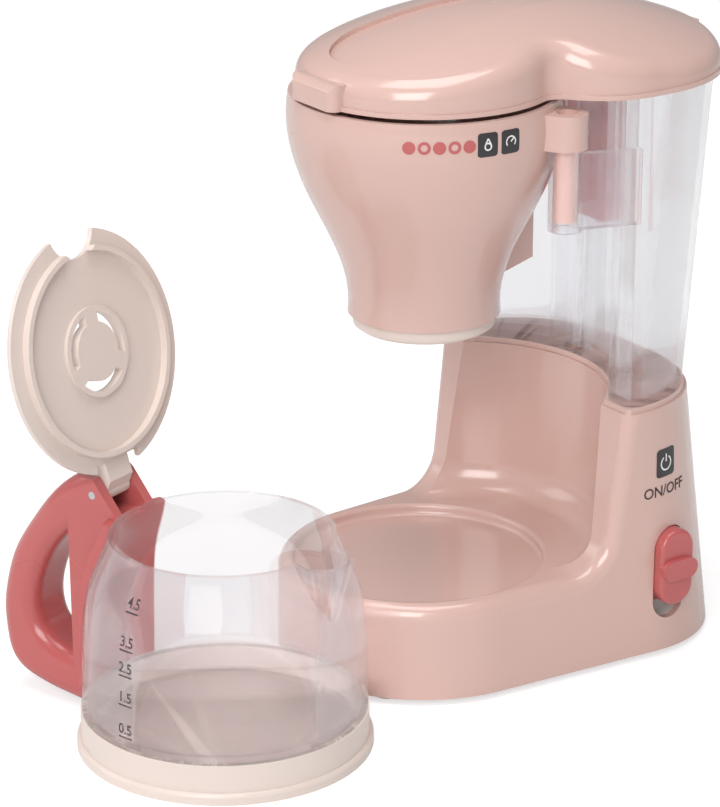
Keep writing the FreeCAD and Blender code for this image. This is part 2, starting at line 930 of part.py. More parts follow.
def lid_ears():
    # Two ears on the tank's back that hold the lid's hinge pin.
    inner = lid_lug_half + play
    ears = []
    for x0 in (inner, -inner - lid_ear_thickness):
        x1 = x0 + lid_ear_thickness
        barrel = rod(lid_barrel_radius, Vector(x0, lid_pin_y, lid_pin_z), Vector(x1, lid_pin_y, lid_pin_z))
        outer = lid_pin_y + lid_barrel_radius
        root = tank_top_rear - tank_wall
        profile = [
            Vector(x0, root, lid_ear_foot),
            Vector(x0, outer, lid_pin_z - lid_barrel_radius),
            Vector(x0, outer, lid_pin_z),
            Vector(x0, lid_pin_y - lid_barrel_radius, lid_pin_z),
            Vector(x0, root, tank_top - hair),
        ]
        bracket = Part.Face(Part.makePolygon(profile + profile[:1])).extrude(Vector(lid_ear_thickness, 0, 0))
        ears += [barrel, bracket]
    return ears


def water_tank():
    inside = tank_block(tank_wall, seam_height + tank_wall, tank_top + tank_wall)
    shell = tank_block(0, seam_height, tank_top).cut(inside)
    spigots = []
    bores = []
    for x, y in spigot_places():
        low = seam_height - spigot_height
        spigots.append(cylinder(spigot_radius, spigot_height + tank_wall, x, y, low))
        spigots.append(cylinder(stub_radius, barb_height, x, y, low - barb_height + hair))
        bores.append(cylinder(water_bore, seam_height, x, y, low - barb_height - hair))
    top = seam_height + tank_wall + hair
    bores = [bore.common(cylinder(spigot_radius, seam_height, x, y, top - seam_height))
             for bore, (x, y) in zip(bores, spigot_places())]
    body = fused([shell, duct()] + spigots + socket_parts() + lid_ears())
    pin_hole = cylinder(pin_radius + slip, tank_height, pin_x, pin_y, socket_bottom - hair)
    inner = lid_lug_half + lid_ear_thickness + 1
    lid_hole = rod(lid_pin_radius + hair, Vector(-inner, lid_pin_y, lid_pin_z), Vector(inner, lid_pin_y, lid_pin_z))
    return carved(body, [duct_room(), pin_hole, lid_hole] + bores)


def water_spout():
    box = block(spout_left, spout_right, spout_front, spout_back, duct_top, spout_top)
    box = box.makeFillet(spout_round, edges_near(box, lambda p: abs(p.z - spout_top) < hair))
    nozzle = block(riser_x - nozzle_half_width, riser_x + nozzle_half_width, nozzle_front, spout_front + spout_wall,
                   nozzle_bottom, spout_top)
    nozzle = nozzle.makeFillet(spout_round, edges_near(nozzle, lambda p: abs(p.y - nozzle_front) < hair))
    w = spout_wall
    room = block(spout_left + w, spout_right - w, spout_front + w, spout_back - w, duct_top - hair, spout_top - w)
    channel = block(riser_x - nozzle_half_width + w, riser_x + nozzle_half_width - w, nozzle_front + w,
                    spout_front + 2 * w, nozzle_bottom + w, spout_top - w)
    hole = cylinder(nozzle_hole, 2 * w, riser_x, nozzle_hole_y, nozzle_bottom - hair)
    return carved(fused([box, nozzle]), [room, channel, hole])


# Filter basket with its swing pin, and the drip cap under it
def basket_profile(inset, top):
    points = [
        (basket_foot_radius, basket_bottom),
        (basket_neck_radius, basket_neck_height),
        (basket_shoulder_radius, basket_shoulder_height),
        (basket_belly_radius, basket_belly_height),
        (basket_rim_radius, basket_top),
    ]
    curve = [(radius - inset, z) for radius, z in points]
    return spin([(basket_rim_radius - inset, top), (0, top), (0, basket_bottom)], curve)


def basket_rib():
    front = basket_foot_radius / 2
    profile = [
        Vector(-rib_half_width, front, rib_low),
        Vector(-rib_half_width, basket_neck_radius, rib_low),
        Vector(-rib_half_width, rib_reach, rib_low + rib_rise),
        Vector(-rib_half_width, rib_reach, rib_top),
        Vector(-rib_half_width, front, rib_top),
    ]
    return Part.Face(Part.makePolygon(profile + profile[:1])).extrude(Vector(2 * rib_half_width, 0, 0))


def filter_basket():
    outside = basket_profile(0, basket_top)
    socket_room = cylinder(pin_radius + slip + socket_wall + play, knuckle_bottom - socket_bottom, pin_x, pin_y,
                           socket_bottom)
    reach = math.hypot(pin_x, pin_y)
    bridge = block(0, reach, -knuckle_radius, knuckle_radius, knuckle_bottom, knuckle_top)
    bridge.rotate(Vector(0, 0, 0), Vector(0, 0, 1), math.degrees(math.atan2(pin_y, pin_x)))
    knuckle = cylinder(knuckle_radius, knuckle_top - knuckle_bottom, pin_x, pin_y, knuckle_bottom)
    pin = cylinder(pin_radius, knuckle_bottom - pin_bottom + hair, pin_x, pin_y, pin_bottom)
    body = fused([outside.cut(socket_room), basket_rib(), bridge, knuckle, pin])
    inside = basket_profile(basket_wall, basket_top + wall)
    floor = block(-front_radius, front_radius, -front_radius, front_radius, 0, basket_bottom + basket_wall)
    dimple = cylinder(knuckle_dimple, wall, pin_x, pin_y, knuckle_top - knuckle_dimple_depth)
    outlet = cylinder(basket_outlet, 2 * wall, 0, 0, basket_bottom - hair)
    return carved(body, [inside.cut(floor), dimple, outlet])


def drip_cap():
    ring_low = basket_bottom - drip_ring_height
    ring = cylinder(drip_ring_radius, drip_ring_height, 0, 0, ring_low)
    step = cylinder(drip_cap_radius, drip_cap_height, 0, 0, ring_low - drip_cap_height)
    floor = ring_low + drip_cap_height
    room = cylinder(drip_cap_radius - basket_wall, basket_bottom, 0, 0, floor)
    holes = []
    for index in range(drip_holes):
        turn = 2 * math.pi * index / drip_holes
        x = drip_hole_circle * math.cos(turn)
        y = drip_hole_circle * math.sin(turn)
        holes.append(cylinder(drip_hole_radius, drip_ring_height, x, y, ring_low - 2 * drip_cap_height))
    return carved(fused([ring, step]), [room] + holes)


# Top lid over the basket and the tank
def lid_form(inset, low, high):
    front = prism(Part.Wire(Part.makeCircle(lid_front_radius - inset, Vector(0, 0, low)).Edges), high - low)
    dx = lid_half_width - lid_corner
    dy = lid_rear - lid_corner
    corner = lid_corner - inset
    shoulder = lid_shoulder_radius - inset
    circles = [
        (-lid_shoulder_x, lid_shoulder_y, shoulder),
        (lid_shoulder_x, lid_shoulder_y, shoulder),
        (dx, dy, corner),
        (-dx, dy, corner),
    ]
    body = fused([front, prism(hull_wire(circles, low), high - low)])
    waist = [edge for edge in body.Edges if upright(edge, high - low) and at_waist(edge.Vertexes[0].Point)]
    return body.makeFillet(lid_waist_round + inset, waist)


def upright(edge, height):
    return abs(edge.BoundBox.ZLength - height) < hair and edge.BoundBox.XLength < hair


def at_waist(point):
    return abs(point.x) > lid_shoulder_x and lid_front_radius / 3 < point.y < lid_shoulder_y - lid_front_radius / 3


def crown(drop):
    # A barrel-shaped solid whose upper surface is the lid's gentle double curve.
    axis_z = lid_crown - lid_cross_radius
    long_radius = lid_long_radius - drop
    centre = Vector(0, lid_crown_y, lid_crown - lid_long_radius)
    reach = 100.0
    height = math.sqrt(long_radius ** 2 - reach ** 2)
    start = centre + Vector(0, -reach, height)
    end = centre + Vector(0, reach, height)
    top = centre + Vector(0, 0, long_radius)
    low_start = Vector(0, start.y, axis_z)
    low_end = Vector(0, end.y, axis_z)
    edges = [
        Part.Arc(start, top, end).toShape(),
        line(end, low_end),
        line(low_end, low_start),
        line(low_start, start),
    ]
    barrel = Part.Face(Part.Wire(edges)).revolve(low_start, Vector(0, 1, 0), 360)
    barrel.rotate(low_start, Vector(0, 1, 0), 180)
    return barrel


def lid_body(inset, low, drop, edge_round):
    body = lid_form(inset, low, lid_crown + wall).common(crown(drop))
    top = edges_near(body, lambda p: p.z > lid_rim + lid_flange_height + hair)
    return body.makeFillet(edge_round, top)


def lid_grip():
    front = (0, lid_grip_front_y, lid_grip_front_radius)
    rear = (0, lid_grip_rear_y, lid_grip_rear_radius)
    return prism(hull_wire([front, rear], lid_rim), lid_crown - lid_rim).cut(crown(lid_grip_depth))


def lid_tab():
    tab = block(-tab_half_width, tab_half_width, -tab_reach, -lid_front_radius + 3 * tab_round, lid_rim, tab_top)
    return tab.makeFillet(tab_round, edges_near(tab, lambda p: abs(p.y + tab_reach) < hair and p.z > lid_rim + hair))


def top_lid():
    outside = lid_body(lid_flange_step, lid_rim, 0, lid_edge_round)
    flange = lid_form(0, lid_rim, lid_rim + lid_flange_height)
    inset = lid_flange_step + lid_wall
    inside = lid_body(inset, lid_rim - hair, lid_wall, lid_edge_round - lid_wall)
    barrel = rod(lid_barrel_radius, Vector(-lid_lug_half, lid_pin_y, lid_pin_z), Vector(lid_lug_half, lid_pin_y, lid_pin_z))
    lug = block(-lid_lug_half, lid_lug_half, lid_pin_y - lid_barrel_radius, lid_pin_y + lid_barrel_radius,
                lid_pin_z, lid_lug_top)
    notch_half = lid_lug_half + play + lid_ear_thickness + play
    notch = block(-notch_half, notch_half, lid_notch_front, lid_rear + lid_barrel_radius, lid_rim - hair, lid_notch_top)
    shell = carved(fused([outside, flange, lid_tab()]), [inside, notch, lid_grip()])
    reach = 2 * lid_lug_half
    pin_hole = rod(lid_pin_radius + slip, Vector(-reach, lid_pin_y, lid_pin_z), Vector(reach, lid_pin_y, lid_pin_z))
    return fused([shell, barrel, lug]).cut(pin_hole)


def lid_hinge_pin():
    half = lid_lug_half + play + lid_ear_thickness
    return rod(lid_pin_radius, Vector(-half, lid_pin_y, lid_pin_z), Vector(half, lid_pin_y, lid_pin_z))


# Carafe: jug, cup under it, handle and hinged lid, all drawn with the handle along +X
def on_table(shape):
    moved = shape.copy()
    moved.rotate(Vector(0, 0, 0), Vector(0, 0, 1), handle_angle)
    moved.translate(Vector(carafe_x, carafe_y, 0))
    return moved


def jug_curve(grow, start):
    points = [
        (jug_foot_radius, start),
        (jug_waist_radius, jug_waist_height),
        (jug_upper_radius, jug_upper_height),
        (jug_neck_radius, jug_neck_height),
        (jug_rim_radius, jug_height),
    ]
    return [(radius + grow, z) for radius, z in points]


def jug_form(grow, floor, low_radius, start, top):
    # The jug's round form: a straight foot inside the cup and the bellied wall above it.
    corners = [
        (jug_rim_radius + grow, top),
        (0, top),
        (0, floor),
        (low_radius, floor),
        (low_radius, start),
    ]
    return spin(corners, jug_curve(grow, start))


def beak(shrink, top):
    circles = []
    for z, radius in ((beak_low, beak_low_radius), (top, beak_radius)):
        circles.append(Part.Wire(Part.makeCircle(radius - shrink, Vector(-beak_reach, 0, z)).Edges))
    return Part.makeLoft(circles, True, True)


def carafe_jug():
    outside = fused([jug_form(0, cup_floor_top, jug_low_radius, cup_height, jug_height), beak(0, jug_height)])
    inside = jug_form(-jug_wall, cup_floor_top + jug_wall, jug_low_radius - jug_wall, cup_height + jug_wall,
                      jug_height + wall)
    tip = beak(jug_wall, jug_height + hair)
    return carved(outside, [inside, tip])


def carafe_base():
    flange = cylinder(flange_radius, flange_height, 0, 0, 0)
    flange = flange.makeFillet(plate_round, flange.Edges[:1] + ring_edges(flange, flange_height)[:1])
    cup = cylinder(cup_radius, cup_height, 0, 0, 0)
    room = cylinder(jug_low_radius + hair, cup_height, 0, 0, cup_floor_top)
    under = cylinder(cup_radius - cup_wall, cup_floor_low, 0, 0, -hair)
    return carved(fused([flange, cup]), [room, under])


def handle_outline():
    outer = [(50, 75), (60.5, 66), (67.5, 57), (74.5, 46), (78.2, 35), (79.5, 27), (79, 18.5), (77, 11)]
    outer += [(73.5, 7), (67, 4.3), (60, 2.8), (52, 1.8)]
    return [Vector(u, -handle_half_width, z) for u, z in outer]


def handle_opening():
    hole = [(51, 57), (59.5, 48.1), (64.4, 38.2), (66.1, 29.6), (64.4, 23), (59.4, 18.8), (50.5, 17.2)]
    points = [Vector(u, -handle_half_width, z) for u, z in hole]
    return Part.Wire([curve_through(points), line(points[-1], points[0])])


def carafe_envelope(grow):
    base = cylinder(flange_radius + grow, flange_height + grow, 0, 0, -grow)
    cup = cylinder(cup_radius + grow, cup_height + grow, 0, 0, -grow)
    return [base, cup, jug_form(grow, 0, cup_radius, cup_height, jug_height)]


def handle_spine_plate():
    outer = jug_form(handle_spine, 0, cup_radius + handle_spine, cup_height, jug_height)
    half = math.radians(handle_spine_angle)
    reach = 2 * cup_radius
    corners = [
        Vector(0, 0, handle_spine_low),
        Vector(reach * math.cos(half), -reach * math.sin(half), handle_spine_low),
        Vector(reach * math.cos(half), reach * math.sin(half), handle_spine_low),
    ]
    wedge = prism(Part.makePolygon(corners + corners[:1]), handle_spine_top - handle_spine_low)
    return outer.common(wedge)


def carafe_handle():
    outer = handle_outline()
    cheek = [
        Vector(handle_inner, -handle_half_width, outer[-1].z),
        Vector(handle_inner, -handle_half_width, handle_cheek_low),
        Vector(handle_cheek_reach, -handle_half_width, handle_cheek_low),
        Vector(handle_cheek_back, -handle_half_width, handle_cheek_top),
    ]
    chain = [outer[-1]] + cheek + [outer[0]]
    edges = [curve_through(outer)] + [line(a, b) for a, b in zip(chain, chain[1:])]
    width = Vector(0, 2 * handle_half_width, 0)
    loop = Part.Face(Part.Wire(edges)).extrude(width).cut(Part.Face(handle_opening()).extrude(width))
    rims = [edge for edge in loop.Edges if isinstance(edge.Curve, Part.BSplineCurve)]
    loop = loop.makeFillet(handle_round, rims)
    body = fused([loop, handle_spine_plate()])
    notch = block(handle_inner, handle_notch_reach, -handle_notch_half, handle_notch_half, handle_notch_floor,
                  handle_cheek_top + wall)
    return carved(body, carafe_envelope(hair) + [notch, hinge_bore(hair)])


def hinge_bore(grow):
    half = handle_half_width + play
    start = Vector(carafe_hinge_reach, -half, carafe_hinge_z)
    return rod(carafe_pin_radius + grow, start, start + Vector(0, 2 * half, 0))


def carafe_hinge_pin():
    start = Vector(carafe_hinge_reach, -handle_half_width, carafe_hinge_z)
    return rod(carafe_pin_radius, start, start + Vector(0, 2 * handle_half_width, 0))


def pie_slots(z, height):
    ring = cylinder(carafe_slot_outer, height, 0, 0, z).cut(cylinder(carafe_slot_inner, height, 0, 0, z))
    half = (1 - carafe_slot_share) * 60
    bars = []
    for index in range(3):
        width = carafe_slot_outer * math.sin(math.radians(half))
        bar = block(0, 2 * carafe_slot_outer, -width, width, z, z + height)
        bar.rotate(Vector(0, 0, 0), Vector(0, 0, 1), 60 + index * 120)
        bars.append(bar)
    return carved(ring, bars)


def carafe_lid():
    low = jug_height + hair
    top = low + carafe_lid_thickness
    disc = cylinder(carafe_lid_radius, carafe_lid_thickness, 0, 0, low)
    disc = disc.makeFillet(carafe_lid_thickness / 3, ring_edges(disc, top))
    ring = cylinder(carafe_ring_radius, carafe_ring_height, 0, 0, low - carafe_ring_height)
    ring = ring.cut(cylinder(carafe_ring_radius - carafe_ring_wall, jug_height, 0, 0, low - carafe_ring_height - hair))
    hub = cylinder(carafe_hub_radius, carafe_hub_height, 0, 0, low - carafe_hub_height)
    notch = cylinder(carafe_notch_radius, 2 * jug_wall + carafe_ring_height, -carafe_notch_reach, 0, low - carafe_ring_height)
    side = block(carafe_lid_cut, 2 * carafe_lid_radius, -carafe_lid_cut_half, carafe_lid_cut_half,
                 low - carafe_ring_height, top + play)
    plate = carved(fused([disc, ring, hub]), [notch, side, pie_slots(low - 2 * carafe_hub_height, jug_height)])
    end = Vector(carafe_hinge_reach, -carafe_arm_half, carafe_hinge_z)
    barrel = rod(carafe_barrel_radius, end, end + Vector(0, 2 * carafe_arm_half, 0))
    profile = [
        Vector(carafe_arm_root, -carafe_arm_half, top - hair),
        Vector(carafe_hinge_reach - carafe_barrel_radius, -carafe_arm_half, low),
        Vector(carafe_hinge_reach, -carafe_arm_half, carafe_hinge_z - carafe_barrel_radius),
        Vector(carafe_hinge_reach, -carafe_arm_half, carafe_hinge_z + carafe_barrel_radius),
        Vector(carafe_arm_root, -carafe_arm_half, top + carafe_arm_height),
    ]
    arm = Part.Face(Part.makePolygon(profile + profile[:1])).extrude(Vector(0, 2 * carafe_arm_half, 0))
    body = fused([plate, arm, barrel]).cut(hinge_bore(slip))
    body.rotate(Vector(carafe_hinge_reach, 0, carafe_hinge_z), Vector(0, 1, 0), carafe_lid_open)
    return body


save("base_housing", base_housing())
save("base_plate", base_plate())
save("battery_door", battery_door())
save("battery_door_screw", screw(0, door_screw_y, door_screw_length))
save("case_screws", case_screws())
save("feet", feet())
save("battery_cells", battery_cells())
save("contact_plates", contact_plates())
save("contact_springs", contact_springs())
save("wiring", wiring())
save("switch_body", switch_body())
save("switch_knob", switch_knob())
save("pump_motor", pump_motor())
save("motor_shaft", motor_shaft())
save("pump_impeller", pump_impeller())
save("pump_housing", pump_housing())
save("pump_cover", pump_cover())
save("inlet_tube", inlet_tube())
save("riser_tube", riser_tube())
save("tank_seals", tank_seals())
save("water_tank", water_tank())
save("water_spout", water_spout())
save("filter_basket", filter_basket())
save("drip_cap", drip_cap())
save("top_lid", top_lid())
save("lid_hinge_pin", lid_hinge_pin())
save("carafe_jug", on_table(carafe_jug()))
save("carafe_base", on_table(carafe_base()))
save("carafe_handle", on_table(carafe_handle()))
save("carafe_hinge_pin", on_table(carafe_hinge_pin()))
save("carafe_lid", on_table(carafe_lid()))
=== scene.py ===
"""Looks of a toy coffee maker with its carafe: finishes, printed marks, light and camera."""

import json
import logging
import math
from dataclasses import dataclass, field
from enum import Enum
from typing import Any, Optional, Union

import bpy
import numpy as np
from mathutils import Matrix, Vector
from mathutils.bvhtree import BVHTree

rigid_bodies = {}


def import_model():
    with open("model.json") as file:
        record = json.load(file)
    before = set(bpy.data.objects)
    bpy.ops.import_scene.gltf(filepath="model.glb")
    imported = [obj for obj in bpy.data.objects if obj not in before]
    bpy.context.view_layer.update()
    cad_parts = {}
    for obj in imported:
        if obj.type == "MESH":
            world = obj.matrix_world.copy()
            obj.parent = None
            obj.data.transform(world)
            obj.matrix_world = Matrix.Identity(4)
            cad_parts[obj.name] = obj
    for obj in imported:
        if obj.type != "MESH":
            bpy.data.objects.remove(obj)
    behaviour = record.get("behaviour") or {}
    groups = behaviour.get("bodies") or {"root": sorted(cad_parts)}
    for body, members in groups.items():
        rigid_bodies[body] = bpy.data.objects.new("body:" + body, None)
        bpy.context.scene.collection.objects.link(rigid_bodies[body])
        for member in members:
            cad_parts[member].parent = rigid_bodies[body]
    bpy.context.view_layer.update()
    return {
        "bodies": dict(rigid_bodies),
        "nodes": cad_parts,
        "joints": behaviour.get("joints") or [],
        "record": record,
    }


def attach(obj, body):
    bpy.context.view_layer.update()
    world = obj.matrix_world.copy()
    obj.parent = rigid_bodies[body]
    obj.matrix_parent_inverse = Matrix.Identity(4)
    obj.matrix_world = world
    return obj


log = logging.getLogger("coffee_maker")

MM = 0.001
FULL_TURN = 360.0

Colour = tuple[float, float, float]
Point = tuple[float, float]
Value = Union["Wire", float]


class Slot(str, Enum):
    """Finishes of the toy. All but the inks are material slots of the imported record."""

    BODY = "body_pink"
    CORAL = "coral"
    CREAM = "cream"
    CLEAR = "clear_plastic"
    FOOT = "foot_rubber"
    HOSE = "hose_rubber"
    INNER = "inner_plastic"
    STEEL = "screw_steel"
    CONTACT = "contact_metal"
    CELL = "cell_wrap"
    WIRE = "wire_cover"
    MOTOR = "motor_can"
    BADGE = "badge_ink"
    WHITE_INK = "white_ink"
    GREY_INK = "grey_ink"


@dataclass(frozen=True)
class Finish:
    """One moulded, printed or plated finish.

    Args:
        color: Linear base colour.
        roughness: Middle roughness.
        metallic: 1 for metal.
        coat: Clear coat weight, for polished plastic.
        mottle: How far the colour drifts over the surface.
        grain: Bump height of the fine moulding texture, in metres.
        grain_scale: Number of grains in a metre.
        clear: Share of light that goes straight through.
        transmission: Share of the rest that is refracted.
        ior: Index of refraction.
    """

    color: Colour
    roughness: float = 0.3
    metallic: float = 0.0
    coat: float = 0.0
    mottle: float = 0.04
    grain: float = 0.00001
    grain_scale: float = 900.0
    clear: float = 0.0
    transmission: float = 0.0
    ior: float = 1.5


FINISHES = {
    Slot.BODY: Finish((0.63, 0.42, 0.37), 0.22, coat=0.5, mottle=0.012),
    Slot.CORAL: Finish((0.49, 0.108, 0.105), 0.28, coat=0.3, mottle=0.02),
    Slot.CREAM: Finish((0.72, 0.615, 0.56), 0.34, coat=0.15, mottle=0.015),
    Slot.CLEAR: Finish((0.975, 0.97, 0.985), 0.03, mottle=0.006, grain=0.0, clear=0.7, transmission=1.0, ior=1.36),
    Slot.FOOT: Finish((0.55, 0.36, 0.31), 0.6, mottle=0.05, grain=0.00002),
    Slot.HOSE: Finish((0.62, 0.6, 0.56), 0.42, mottle=0.05),
    Slot.INNER: Finish((0.74, 0.73, 0.7), 0.45, mottle=0.03),
    Slot.STEEL: Finish((0.6, 0.6, 0.6), 0.3, metallic=1.0, mottle=0.06),
    Slot.CONTACT: Finish((0.72, 0.71, 0.68), 0.2, metallic=1.0, mottle=0.06),
    Slot.CELL: Finish((0.05, 0.05, 0.055), 0.3, coat=0.3),
    Slot.WIRE: Finish((0.42, 0.04, 0.035), 0.4),
    Slot.MOTOR: Finish((0.58, 0.58, 0.6), 0.35, metallic=1.0, mottle=0.08),
    Slot.BADGE: Finish((0.03, 0.03, 0.032), 0.42, mottle=0.1),
    Slot.WHITE_INK: Finish((0.8, 0.78, 0.76), 0.6),
    Slot.GREY_INK: Finish((0.06, 0.045, 0.05), 0.8, mottle=0.1),
}


class Wire:
    """A shader output that takes part in plain arithmetic."""

    def __init__(self, tree: bpy.types.NodeTree, socket: bpy.types.NodeSocket) -> None:
        """Keeps the node tree and the output socket."""
        self.tree = tree
        self.socket = socket

    def _math(self, operation: str, left: Value, right: Value) -> "Wire":
        """Adds one Math node.

        Args:
            operation: Name of the operation.
            left: First value.
            right: Second value.

        Returns:
            The node's output.
        """
        node = self.tree.nodes.new("ShaderNodeMath")
        node.operation = operation
        for slot, value in zip(node.inputs, (left, right)):
            if isinstance(value, Wire):
                self.tree.links.new(value.socket, slot)
            else:
                slot.default_value = value
        return Wire(self.tree, node.outputs[0])

    def __add__(self, other: Value) -> "Wire":
        """Self plus other."""
        return self._math("ADD", self, other)

    def __radd__(self, other: Value) -> "Wire":
        """Other plus self."""
        return self._math("ADD", other, self)

    def __sub__(self, other: Value) -> "Wire":
        """Self less other."""
        return self._math("SUBTRACT", self, other)

    def __rsub__(self, other: Value) -> "Wire":
        """Other less self."""
        return self._math("SUBTRACT", other, self)

    def __mul__(self, other: Value) -> "Wire":
        """Self times other."""
        return self._math("MULTIPLY", self, other)

    def __rmul__(self, other: Value) -> "Wire":
        """Other times self."""
        return self._math("MULTIPLY", other, self)


@dataclass
class Graph:
    """The node tree of one material or world.

    Args:
        tree: The tree, emptied when the graph is made.
    """

    tree: bpy.types.NodeTree

    def __post_init__(self) -> None:
        """Empties the tree."""
        self.tree.nodes.clear()

    def node(self, kind: str, values: Optional[dict[Any, Any]] = None, **settings: Any) -> bpy.types.Node:
        """Adds a node.

        Args:
            kind: Node type name.
            values: Input name or number to a Wire or a constant.
            **settings: Node attributes, which are set first.

        Returns:
            The new node.
        """
        made = self.tree.nodes.new(kind)
        for name, value in settings.items():
            setattr(made, name, value)
        for name, value in (values or {}).items():
            if isinstance(value, Wire):
                self.tree.links.new(value.socket, made.inputs[name])
            else:
                made.inputs[name].default_value = value
        return made

    def wire(self, made: bpy.types.Node, output: Union[str, int] = 0) -> Wire:
        """An output of a node, as a Wire."""
        return Wire(self.tree, made.outputs[output])

    def ray(self, kind: str) -> Wire:
        """One Light Path output, such as Is Camera Ray."""
        return self.wire(self.node("ShaderNodeLightPath"), kind)

    def blend(self, share: Value, first: Wire, second: Wire) -> Wire:
        """Mixes two shaders.

        Args:
            share: Part of the second shader.
            first: First shader.
            second: Second shader.

        Returns:
            The mixed shader.
        """
        return self.wire(self.node("ShaderNodeMixShader", {0: share, 1: first, 2: second}))

    def finish(self, surface: Wire, kind: str = "ShaderNodeOutputMaterial") -> None:
        """Links the surface to an output node."""
        self.node(kind, {"Surface": surface})


@dataclass(frozen=True)
class PlasticLook:
    """Shares that all finishes have in common.

    Args:
        drift_scale: Number of slow colour clouds in a metre.
        fine_detail: Octaves of the fine grain.
        gloss_floor: Lowest roughness, as a share of the finish's.
        gloss_swing: How far the roughness drifts, as a share of the finish's.
        coat_roughness: Roughness of the clear coat.
        bump_strength: Strength of the fine grain.
        edge_blend: Layer Weight blend of the clear plastic.
        edge_share: How much more a grazed clear surface refracts.
        shadow_relief: Share of the refraction that shadow rays skip.
        through: Tint of light that goes straight through.
    """

    drift_scale: float = 14.0
    fine_detail: float = 2.0
    gloss_floor: float = 0.92
    gloss_swing: float = 0.16
    coat_roughness: float = 0.08
    bump_strength: float = 0.25
    edge_blend: float = 0.3
    edge_share: float = 0.35
    shadow_relief: float = 0.85
    through: Colour = (0.985, 0.983, 0.99)


@dataclass
class FinishMaker:
    """Builds one node material for each finish.

    Args:
        look: Shares common to all finishes.
        made: Materials made so far.
    """

    look: PlasticLook = PlasticLook()
    made: dict[Slot, bpy.types.Material] = field(default_factory=dict)

    def noise(self, graph: Graph, scale: float, detail: float) -> Wire:
        """A smooth noise over the object's own coordinates.

        Args:
            graph: The material's graph.
            scale: Number of clouds in a metre.
            detail: Octaves.

        Returns:
            The noise value.
        """
        place = graph.wire(graph.node("ShaderNodeTexCoord"), "Object")
        return graph.wire(graph.node("ShaderNodeTexNoise", {"Vector": place, "Scale": scale, "Detail": detail}), "Fac")

    def plastic(self, graph: Graph, finish: Finish) -> Wire:
        """The main shader of a finish.

        Args:
            graph: The material's graph.
            finish: The finish.

        Returns:
            The shader.
        """
        look = self.look
        drift = self.noise(graph, look.drift_scale, 0.0)
        dark = tuple(c * (1 - finish.mottle) for c in finish.color) + (1.0,)
        light = tuple(min(1.0, c * (1 + finish.mottle)) for c in finish.color) + (1.0,)
        tint = graph.node("ShaderNodeMix", {0: drift, 6: dark, 7: light}, data_type="RGBA")
        values = {
            "Base Color": graph.wire(tint, 2),
            "Roughness": finish.roughness * look.gloss_floor + drift * (finish.roughness * look.gloss_swing),
            "Metallic": finish.metallic,
            "Coat Weight": finish.coat,
            "Coat Roughness": look.coat_roughness,
            "IOR": finish.ior,
            "Transmission Weight": finish.transmission,
        }
        if finish.grain:
            fine = self.noise(graph, finish.grain_scale, look.fine_detail)
            grain = {"Height": fine, "Strength": look.bump_strength, "Distance": finish.grain}
            values["Normal"] = graph.wire(graph.node("ShaderNodeBump", grain), "Normal")
        return graph.wire(graph.node("ShaderNodeBsdfPrincipled", values))

    def see_through(self, graph: Graph, finish: Finish, plastic: Wire) -> Wire:
        """Lets light pass straight through, less so where the surface is grazed.

        Args:
            graph: The material's graph.
            finish: The clear finish.
            plastic: Its refracting shader.

        Returns:
            The mixed shader.
        """
        look = self.look
        straight = graph.wire(graph.node("ShaderNodeBsdfTransparent", {"Color": look.through + (1.0,)}))
        edge = graph.wire(graph.node("ShaderNodeLayerWeight", {"Blend": look.edge_blend}), "Facing")
        share = edge * edge * look.edge_share + (1 - finish.clear)
        relief = 1 - graph.ray("Is Shadow Ray") * look.shadow_relief
        return graph.blend(share * relief, straight, plastic)

    def get(self, slot: Slot) -> bpy.types.Material:
        """The material of a slot, made on first use.

        Args:
            slot: The finish wanted.

        Returns:
            A Blender material.
        """
        if slot not in self.made:
            finish = FINISHES[slot]
            material = bpy.data.materials.new(slot.value)
            material.use_nodes = True
            graph = Graph(material.node_tree)
            surface = self.plastic(graph, finish)
            if finish.clear:
                surface = self.see_through(graph, finish, surface)
            graph.finish(surface)
            self.made[slot] = material
        return self.made[slot]


@dataclass(frozen=True)
class RoundField:
    """Drawing plane wrapped round an upright axis.

    Args:
        centre: Axis place (x, y), in metres.
        reach: Radius that the rays start from, in metres.
        middle: Angle of the drawing's middle, in degrees.
        radius: Radius that turns widths into angles, in metres.
        height: Height of the drawing's middle, in metres.
    """

    centre: Point
    reach: float
    middle: float
    radius: float
    height: float

    def ray(self, u: float, v: float) -> tuple[Vector, Vector]:
        """Start and direction of the inward ray for a drawing point.

        Args:
            u: Place along the drawing, in metres. It turns into the angle u / radius.
            v: Place up the drawing, in metres.

        Returns:
            The start and the direction.
        """
        angle = math.radians(self.middle) + u / self.radius
        out = Vector((math.cos(angle), math.sin(angle), 0))
        return Vector((*self.centre, self.height + v)) + out * self.reach, -out


@dataclass(frozen=True)
class FlankField:
    """Drawing plane facing +X, on the column's side.

    Args:
        y: Middle of the drawing, in metres.
        z: Height of the drawing's middle, in metres.
        reach: Where the rays start, in metres.
    """

    y: float
    z: float
    reach: float = 0.1

    def ray(self, u: float, v: float) -> tuple[Vector, Vector]:
        """Start and direction of the ray for a drawing point (metres)."""
        return Vector((self.reach, self.y + u, self.z + v)), Vector((-1, 0, 0))


